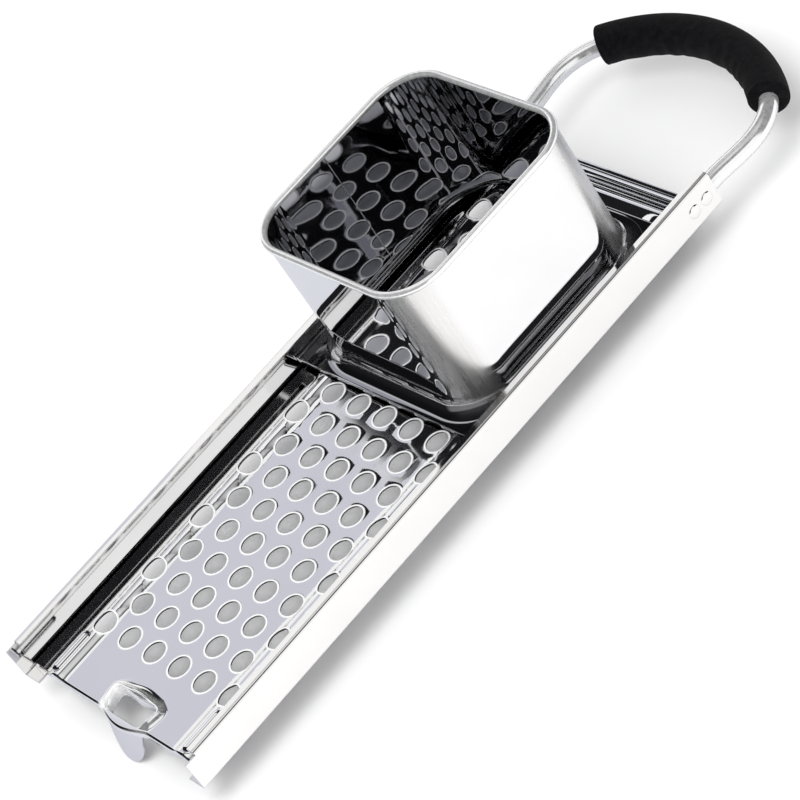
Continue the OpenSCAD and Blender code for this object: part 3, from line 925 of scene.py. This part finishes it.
# ---------------------------------------------------------------------------
# Side rails: C-shaped channels bent from sheet, open towards the middle.
# The slide runs between them, and the plate lies on their floors.
# ---------------------------------------------------------------------------
rail_outer = 52.7
rail_low = -3.0
rail_high = 11.5
rail_sheet = 0.8
rail_bend = 1.5
rail_front = -164.0
rail_rear = 100.0
rail_lip_front = rail_front + 4.5
rail_lip_edge = rail_outer - 4.1
nose_lap = 0.1
cut_edge = 0.15
rail_lip_droop = 0.3
rail_floor_edge = toe_end + 1.1


def arc(centre, radius, start, end, steps):
    """Points on an arc, in degrees, from start to end."""
    points = []
    for i in range(steps + 1):
        turn = math.radians(start + (end - start) * i / steps)
        points.append((centre[0] + radius * math.cos(turn), centre[1] + radius * math.sin(turn)))
    return points


def rail_outline(with_lip):
    bend_in = rail_bend - rail_sheet
    outside = [(rail_floor_edge, rail_low)]
    outside += arc((rail_outer - rail_bend, rail_low + rail_bend), rail_bend, -90, 0, 8)
    inside = arc((rail_outer - rail_bend, rail_low + rail_bend), bend_in, 0, -90, 8)
    inside.append((rail_floor_edge, rail_low + rail_sheet))
    if with_lip:
        top = (rail_outer - rail_bend, rail_high - rail_bend)
        outside += arc(top, rail_bend, 0, 90, 8)
        outside += [(rail_lip_edge, rail_high - rail_lip_droop)]
        inside = arc(top, bend_in, 90, 0, 8) + inside
        inside.insert(0, (rail_lip_edge, rail_high - rail_lip_droop - rail_sheet))
    else:
        outside += [(rail_outer, rail_high - rail_bend)]
        inside = [(rail_outer - rail_sheet, rail_high - rail_bend)] + inside
    return outside + inside


def extrude_section(name, outline, start, end, side):
    """A bar of the given section in Y and Z, along X, on the side given by its sign."""
    solid = bmesh.new()
    ends = [[solid.verts.new(Vector((x, side * y, z + plate_top)) * MM) for y, z in outline]
            for x in (start, end)]
    skin_rings(solid, ends)
    solid.faces.new(ends[0])
    solid.faces.new(list(reversed(ends[1])))
    return solid_piece(name, solid)


def soften(piece, width, angle=40):
    """Breaks the sheet's cut edges by a hair, as a press leaves them."""
    bevel = piece.modifiers.new("soft_edges", "BEVEL")
    bevel.width = width * MM
    bevel.segments = 2
    bevel.limit_method = "ANGLE"
    bevel.angle_limit = math.radians(angle)
    bake_modifiers(piece)


rail_steel = polished_steel("rail_steel", (0.92, 0.91, 0.90), 18, 0.04, 0.04, 0.05)
for side, name in ((1, "left_rail"), (-1, "right_rail")):
    rail = extrude_section(name + "_channel", rail_outline(True), rail_lip_front, rail_rear, side)
    soften(rail, cut_edge)
    smooth(rail, keep_flats=True)
    paint(rail, rail_steel)
    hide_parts(name)
    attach(rail, "frame")
    nose = extrude_section(name + "_nose", rail_outline(False), rail_front,
                           rail_lip_front + nose_lap, side)
    soften(nose, cut_edge)
    smooth(nose, keep_flats=True)
    paint(nose, rail_steel)
    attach(nose, "frame")


# ---------------------------------------------------------------------------
# Slide frame: a flat sheet with its side edges folded up, which carries the
# hopper over the plate and is held down by the rails' lips.
# ---------------------------------------------------------------------------
slide_middle = 30.0
slide_low = 1.7
slide_half_length = 49.7
slide_half_width = 51.5
hem_width = 1.1
hem_top = slide_low + sheet + 1.6
lip_width = 0.5
hopper_half_length = 42.7
hopper_half_width = 44.0
hopper_corner = 18.0
hopper_sheet = 0.8
foot_flare = 6.3
mouth_grow = foot_flare - 2.8
lap = 0.05
hopper_low = slide_low + sheet
hopper_top = 62.6
rim_thickness = 2.6


def rounded_loop(half_x, half_y, corner, corner_steps, x_steps, y_steps):
    """Outline of a rounded rectangle, anticlockwise, with points along its straight sides."""
    points = []
    for turn, sx, sy in ((0, 1, 1), (90, -1, 1), (180, -1, -1), (270, 1, -1)):
        centre = (sx * (half_x - corner), sy * (half_y - corner))
        points += arc(centre, corner, turn, turn + 90, corner_steps)
    out = []
    for i, a in enumerate(points):
        b = points[(i + 1) % len(points)]
        out.append(a)
        if (i + 1) % (corner_steps + 1) == 0:
            steps = y_steps if abs(a[0] - b[0]) < 1e-6 else x_steps
            for s in range(1, steps):
                out.append((a[0] + (b[0] - a[0]) * s / steps, a[1] + (b[1] - a[1]) * s / steps))
    return out


def loft(name, loops, middle):
    """Skins a stack of loops of as many points each, from the last round to the first."""
    solid = bmesh.new()
    rings = [[solid.verts.new(Vector((x + middle, y, z + plate_top)) * MM) for x, y, z in loop]
             for loop in loops]
    skin_rings(solid, rings + rings[:1])
    return solid_piece(name, solid)


def loop_at(grow, z, corner_steps=16, x_steps=8, y_steps=8):
    """The hopper's outline grown outwards by a distance, at a height."""
    outline = rounded_loop(hopper_half_length + grow, hopper_half_width + grow,
                           hopper_corner + grow, corner_steps, x_steps, y_steps)
    return [(x, y, z) for x, y in outline]


def square_loop(template, half_x, half_y, z):
    """Pushes a rounded loop out to a rectangle, point by point, with sharp corners."""
    out = []
    for x, y, _ in template:
        reach = min(half_x / abs(x) if x else 1e9, half_y / abs(y) if y else 1e9)
        out.append((x * reach, y * reach, z))
    return out


template = loop_at(mouth_grow, 0)
slide_loops = [loop_at(mouth_grow, slide_low + sheet), loop_at(mouth_grow, slide_low),
               square_loop(template, slide_half_length, slide_half_width, slide_low),
               square_loop(template, slide_half_length, slide_half_width, slide_low + sheet)]
slide_piece = loft("slide_sheet", slide_loops, slide_middle)
soften(slide_piece, 0.1)
smooth(slide_piece, keep_flats=True)
# The slide's steel is tinted much darker than the rest: painted shade on the sheet under and around
# the hopper.
slide_steel = polished_steel("slide_steel", (0.55, 0.55, 0.57), 22, 0.05, 0.04, 0.04)
paint(slide_piece, slide_steel)
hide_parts("slide_frame")
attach(slide_piece, "slide")

hem_outline = [(slide_half_width - hem_width, slide_low + sheet - lap),
               (slide_half_width, slide_low + sheet - lap)]
hem_outline += arc((slide_half_width - hem_width / 2, hem_top - hem_width / 2), hem_width / 2,
                   0, 180, 10)
for side, name in ((1, "left"), (-1, "right")):
    hem = extrude_section("slide_hem_" + name, hem_outline, slide_middle - slide_half_length,
                          slide_middle + slide_half_length, side)
    smooth(hem)
    paint(hem, slide_steel)
    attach(hem, "slide")
for side, name in ((1, "rear"), (-1, "front")):
    middle = slide_middle + side * (slide_half_length - lip_width / 2)
    reach = slide_half_width - hem_width
    lip_outline = [(-reach, slide_low + sheet - lap), (reach, slide_low + sheet - lap),
                   (reach, hopper_low + hopper_sheet), (-reach, hopper_low + hopper_sheet)]
    turned = extrude_section("slide_lip_" + name, lip_outline, middle - lip_width / 2,
                             middle + lip_width / 2, 1)
    soften(turned, 0.12)
    smooth(turned)
    paint(turned, slide_steel)
    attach(turned, "slide")


# ---------------------------------------------------------------------------
# Hopper: a square cup without a bottom, drawn from sheet, with a rolled rim
# and a foot that flares out to a flange on the slide frame.
# ---------------------------------------------------------------------------
flare_steps = 12
wall_steps = 6
rim_middle = hopper_top - rim_thickness / 2
flare_top = hopper_low + hopper_sheet + foot_flare


def cup_face(wall_grow, radius):
    """Loops of one face of the cup: the quarter-round flare of its foot, then its wall."""
    loops = []
    for i in range(flare_steps + 1):
        turn = math.radians(90) * i / flare_steps
        loops.append(loop_at(foot_flare - radius * math.sin(turn),
                             flare_top - radius * math.cos(turn)))
    for i in range(1, wall_steps + 1):
        loops.append(loop_at(wall_grow, flare_top + (rim_middle - flare_top) * i / wall_steps))
    return loops


outside_loops = cup_face(0, foot_flare)
inside_loops = cup_face(-hopper_sheet, foot_flare + hopper_sheet)[::-1]
hopper_piece = loft("hopper_cup", outside_loops + inside_loops, slide_middle)
smooth(hopper_piece, 50)
# Its second, dark grey tint is painted shade: inside the cup, at its foot and over the flange.
hopper_steel = polished_steel("hopper_steel", (0.91, 0.91, 0.92), 20, 0.06, 0.03, 0.025,
                              ((0.80, 0.79, 0.78, 1), 0.33, 0.9), (0.42, 0.42, 0.44))


def past_corner(place):
    """How far a point lies past the centre of the nearest corner's round, in X and in Y."""
    return (abs(place.x - slide_middle) - (hopper_half_length - hopper_corner),
            abs(place.y) - (hopper_half_width - hopper_corner))


def inside_cup(place):
    """1 on the cup's inner wall and at the very foot, which take the darker tint of painted shade.
    """
    x, y = past_corner(place)
    out = math.hypot(max(x, 0), max(y, 0)) if max(x, y) > 0 else max(x, y)
    above = place.z - plate_top - hopper_low
    grow = hopper_corner - hopper_sheet / 2
    if above < foot_flare:
        grow += foot_flare - math.sqrt(max(0.0, foot_flare ** 2 - (foot_flare - above) ** 2))
    return 1.0 if out < grow else min(1.0, max(0.0, 2.6 - above))


def drawn_corner(place):
    """1 along the outside of the upright corners, which drawing has left brushed."""
    x, y = past_corner(place)
    if x <= 0 or y <= 0 or math.hypot(x, y) < hopper_corner - hopper_sheet / 2:
        return 0.0
    turn = abs(math.degrees(math.atan2(y, x)) - 45)
    up = min(1.0, max(0.0, (place.z - plate_top - 3) / 8))
    return up * min(1.0, max(0.0, (33 - turn) / 12))


store_mask(hopper_piece, "satin_and_highlight", drawn_corner)
store_mask(hopper_piece, "painted_shade", inside_cup)
paint(hopper_piece, hopper_steel)
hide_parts("hopper")
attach(hopper_piece, "slide")

flange_half_x = slide_half_length - lip_width - lap
flange_half_y = slide_half_width - hem_width - lap
flange_low = hopper_low + 0.01
flange_top = hopper_low + hopper_sheet
inner_edge = loop_at(foot_flare - lap, 0)
flange_loops = [loop_at(foot_flare - lap, flange_top), loop_at(foot_flare - lap, flange_low),
                square_loop(inner_edge, flange_half_x, flange_half_y, flange_low),
                square_loop(inner_edge, flange_half_x, flange_half_y, flange_top)]
flange_piece = loft("hopper_flange", flange_loops, slide_middle)
smooth(flange_piece)
# The whole flange takes the dark tint: painted shade round the hopper's foot.
store_mask(flange_piece, "painted_shade", lambda place: 1.0)
paint(flange_piece, hopper_steel)
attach(flange_piece, "slide")


def round_bar_tree():
    """A round bar along a line of points, with its ends closed."""
    tree, given, out = geometry_tree("round_bar", (("Radius", "Float"), ("Around", "Int"),
                                                   ("Material", "Material")))
    line = add_node(tree, "GeometryNodeMeshToCurve", {0: given["Geometry"]})
    ring = add_node(tree, "GeometryNodeCurvePrimitiveCircle",
                    {"Resolution": given["Around"], "Radius": given["Radius"]})
    skin = add_node(tree, "GeometryNodeCurveToMesh", {
        "Curve": line.outputs[0], "Profile Curve": ring.outputs["Curve"], "Fill Caps": True})
    end_tree(tree, skin.outputs[0], given["Material"], out)
    return tree


round_bar = round_bar_tree()


def bar_along(name, path, closed, radius, around, material):
    """A round bar of the given radius whose middle line runs through the points, in millimetres."""
    line = bpy.data.meshes.new(name)
    edges = [(i, i + 1) for i in range(len(path) - 1)]
    if closed:
        edges.append((len(path) - 1, 0))
    line.from_pydata([Vector(place) * MM for place in path], edges, [])
    piece = new_piece(name, line)
    node_modifier(piece, round_bar, {"Radius": radius * MM, "Around": around,
                                     "Material": material})
    skin = bmesh.new()
    skin.from_mesh(piece.data)
    bmesh.ops.recalc_face_normals(skin, faces=skin.faces)
    skin.to_mesh(piece.data)
    skin.free()
    return piece


rim_line = [(x + slide_middle, y, z + plate_top)
            for x, y, z in loop_at(-0.3, rim_middle, 20, 2, 2)]
rim_piece = bar_along("hopper_rim", rim_line, True, rim_thickness / 2, 20,
                      polished_steel("rim_steel", (0.94, 0.94, 0.94), 30, 0.03, 0.03, 0.04,
                                     ((0.97, 0.97, 0.97, 1), 0.3, 0.35)))
smooth(rim_piece, 60)
store_mask(rim_piece, "satin_and_highlight", lambda place: 0.6)
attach(rim_piece, "slide")

# The cup's wall is closed by one upright weld, which shows as a fine ridge inside.
seam_x = 27.5
seam_y = hopper_half_width - hopper_sheet + lap
seam_piece = bar_along("hopper_seam", [(seam_x, seam_y, plate_top + hopper_low + 8),
                                       (seam_x, seam_y, plate_top + rim_middle - 0.5)],
                       False, 0.3, 12, hopper_steel)
smooth(seam_piece, 60)
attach(seam_piece, "slide")


# ---------------------------------------------------------------------------
# Handle: one round bar bent to a loop, with its ends inside the rails.
# ---------------------------------------------------------------------------
bar_radius = 3.4
bar_level = 3.8
bar_end = 84.5
bar_side = rail_outer - rail_sheet - bar_radius - lap
swell_start = 101.5
swell_length = 20.0
swell = 2.0
corner_radius = 26.0
corner_turn = 52.0

bend_start = swell_start + swell_length
bend_side = bar_side + swell
loop_half = 90.0 - corner_turn
loop_side = bend_side - corner_radius * (1 - math.cos(math.radians(corner_turn)))
loop_join = bend_start + corner_radius * math.sin(math.radians(corner_turn))
loop_radius = loop_side / math.sin(math.radians(loop_half))
loop_centre = loop_join - loop_radius * math.cos(math.radians(loop_half))


def handle_path(corner_part, with_legs):
    """Centre line of the handle in X and Y, from the left side round to the right side."""
    quarter = []
    if with_legs:
        quarter += [(bar_end, bar_side), (bar_end + 8, bar_side), (swell_start, bar_side)]
        for i in range(1, 12):
            share = i / 12
            quarter.append((swell_start + swell_length * share, bar_side + swell * ease(share)))
    corner = arc((bend_start, bend_side - corner_radius), corner_radius,
                 90 - corner_turn + corner_part, 90 - corner_turn, 12)
    quarter += corner[:-1]
    loop = arc((loop_centre, 0), loop_radius, loop_half, 0, 16)
    quarter += loop
    return quarter + [(x, -y) for x, y in reversed(quarter[:-1])]


bar_line = [(x, y, bar_level + plate_top) for x, y in handle_path(corner_turn, True)]
bar_piece = bar_along("handle_loop", bar_line, False, bar_radius, 32,
                      polished_steel("bar_steel", (0.92, 0.92, 0.92), 60, 0.03, 0.05, 0.06,
                                     ((0.95, 0.95, 0.95, 1), 0.25, 0.4)))
smooth(bar_piece, 50)
store_mask(bar_piece, "satin_and_highlight", lambda place: 0.55)
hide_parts("handle_bar")
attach(bar_piece, "frame")


# ---------------------------------------------------------------------------
# Grip: a sleeve of black closed-cell foam pushed over the loop's bend, where
# it creases a little on the inner side.
# ---------------------------------------------------------------------------
grip_radius = 7.5
grip_overlap = 8.0
grip_round = 2.2


def dense(path, step):
    """Puts points about a step apart along a path."""
    out = [path[0]]
    for a, b in zip(path, path[1:]):
        length = math.dist(a, b)
        parts = max(1, round(length / step))
        for i in range(1, parts + 1):
            out.append((a[0] + (b[0] - a[0]) * i / parts, a[1] + (b[1] - a[1]) * i / parts))
    return out


def sweep(name, path, radii, level, around):
    """A round skin along a level path, with one radius for each of its points."""
    solid = bmesh.new()
    rings = []
    count = len(path)
    for i, (x, y) in enumerate(path):
        before = path[max(i - 1, 0)]
        after = path[min(i + 1, count - 1)]
        along = Vector((after[0] - before[0], after[1] - before[1], 0)).normalized()
        out = Vector((-along.y, along.x, 0))
        ring = []
        for k in range(around):
            turn = 2 * math.pi * k / around
            radius = radii(i, turn)
            place = Vector((x, y, level + plate_top)) + out * (radius * math.cos(turn))
            place += Vector((0, 0, radius * math.sin(turn)))
            ring.append(solid.verts.new(place * MM))
        rings.append(ring)
    skin_rings(solid, rings)
    solid.faces.new(rings[0])
    solid.faces.new(list(reversed(rings[-1])))
    return solid_piece(name, solid)


grip_path = dense(handle_path(grip_overlap, False), 0.7)
grip_length = sum(math.dist(a, b) for a, b in zip(grip_path, grip_path[1:]))


def grip_skin(i, turn):
    """Radius of the foam: round ends and shallow creases towards the inside of the loop."""
    at = grip_length * i / (len(grip_path) - 1)
    end = min(at, grip_length - at)
    radius = grip_radius
    if end < grip_round:
        radius -= grip_round * (1 - math.sqrt(1 - (1 - end / grip_round) ** 2))
    inner = max(0.0, -math.cos(turn)) ** 1.5
    crease = 0.16 * math.sin(at * 0.83 + 1.7 * math.sin(at * 0.17 + 0.4))
    crease += 0.12 * math.sin(at * 0.47 + 2.1 * math.sin(at * 0.11 + 2.0))
    return radius - 0.2 * inner + inner * crease * min(1.0, end / 8)


grip_piece = sweep("grip_sleeve", grip_path, grip_skin, bar_level, 48)
smooth(grip_piece, 60)


def foam_material():
    """Black closed-cell foam: matt, with a fine grain and pores."""
    material = bpy.data.materials.new("black_foam")
    material.use_nodes = True
    tree = material.node_tree
    shader = tree.nodes["Principled BSDF"]
    shader.inputs["Sheen Weight"].default_value = 0.02
    shader.inputs["Sheen Roughness"].default_value = 0.6
    shader.inputs["Specular IOR Level"].default_value = 0.12
    place = add_node(tree, "ShaderNodeTexCoord").outputs["Object"]
    pores = add_node(tree, "ShaderNodeTexVoronoi", {"Vector": place, "Scale": 1500})
    grain = add_node(tree, "ShaderNodeTexNoise", {"Vector": place, "Scale": 420, "Detail": 6})
    ramp = add_node(tree, "ShaderNodeValToRGB", {"Fac": grain.outputs["Fac"]})
    for stop, at, tint in zip(ramp.color_ramp.elements, (0.3, 0.8),
                              ((0.0015, 0.0014, 0.002), (0.008, 0.0075, 0.009))):
        stop.position = at
        stop.color = (*tint, 1)
    rough = add_node(tree, "ShaderNodeMapRange",
                     {"Value": grain.outputs["Fac"], "To Min": 0.75, "To Max": 0.98})
    bump = add_node(tree, "ShaderNodeBump", {
        "Distance": 0.00025, "Strength": 0.6, "Height": pores.outputs["Distance"]})
    for label, socket in (("Base Color", ramp.outputs["Color"]),
                          ("Roughness", rough.outputs["Result"]),
                          ("Normal", bump.outputs["Normal"])):
        tree.links.new(socket, shader.inputs[label])
    return material


paint(grip_piece, foam_material())
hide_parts("foam_grip")
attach(grip_piece, "frame")


# ---------------------------------------------------------------------------
# Rivets: two low domed heads on each rail, which hold the ends of the bar.
# ---------------------------------------------------------------------------
rivet_radius = 2.6
rivet_rise = 0.7
rivet_first = bar_end + 4.3
rivet_pitch = 6.4

head_steps = 8
head_around = 24
head_sink = 0.1

head = bmesh.new()
head_rings = []
for i in range(head_steps + 1):
    turn = math.radians(90) * i / head_steps
    reach = max(rivet_radius * math.cos(turn), 0.02)
    out = -head_sink + (rivet_rise + head_sink) * math.sin(turn)
    head_rings.append([head.verts.new(Vector((reach * math.cos(2 * math.pi * m / head_around), out,
                                              reach * math.sin(2 * math.pi * m / head_around)))
                                      * MM) for m in range(head_around)])
skin_rings(head, head_rings)
head.faces.new(head_rings[0])
head.faces.new(list(reversed(head_rings[-1])))


def rivet_tree():
    """Sets one rivet head at each place of a row along both rails, turned to face outwards."""
    tree, given, out = geometry_tree("rivet_rows", (
        ("Per Side", "Int"), ("Pitch", "Float"), ("First", "Float"), ("Side", "Float"),
        ("Level", "Float"), ("Material", "Material")))
    index = add_node(tree, "GeometryNodeInputIndex").outputs[0]

    def calc(operation, *terms):
        return math_node(tree, operation, *terms)

    side = calc("FLOOR", calc("DIVIDE", index, given["Per Side"]))
    along = calc("MULTIPLY", calc("MODULO", index, given["Per Side"]), given["Pitch"])
    sign = calc("SUBTRACT", 1.0, calc("MULTIPLY", side, 2.0))
    place = add_node(tree, "ShaderNodeCombineXYZ", {
        "X": calc("ADD", along, given["First"]), "Y": calc("MULTIPLY", sign, given["Side"]),
        "Z": given["Level"]})
    points = add_node(tree, "GeometryNodePoints", {
        "Count": calc("MULTIPLY", given["Per Side"], 2.0), "Position": place.outputs[0]})
    facing = add_node(tree, "ShaderNodeCombineXYZ", {"Z": calc("MULTIPLY", side, math.pi)})
    heads = add_node(tree, "GeometryNodeInstanceOnPoints", {
        "Points": points.outputs[0], "Instance": given["Geometry"],
        "Rotation": facing.outputs[0]})
    end_tree(tree, heads.outputs[0], given["Material"], out)
    return tree


rivet_piece = solid_piece("rivet_heads", head)
node_modifier(rivet_piece, rivet_tree(), {
    "Per Side": 2, "Pitch": rivet_pitch * MM, "First": rivet_first * MM,
    "Side": rail_outer * MM, "Level": (bar_level + plate_top) * MM, "Material": rail_steel})
smooth(rivet_piece, 60)
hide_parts("bar_rivets")
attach(rivet_piece, "frame")
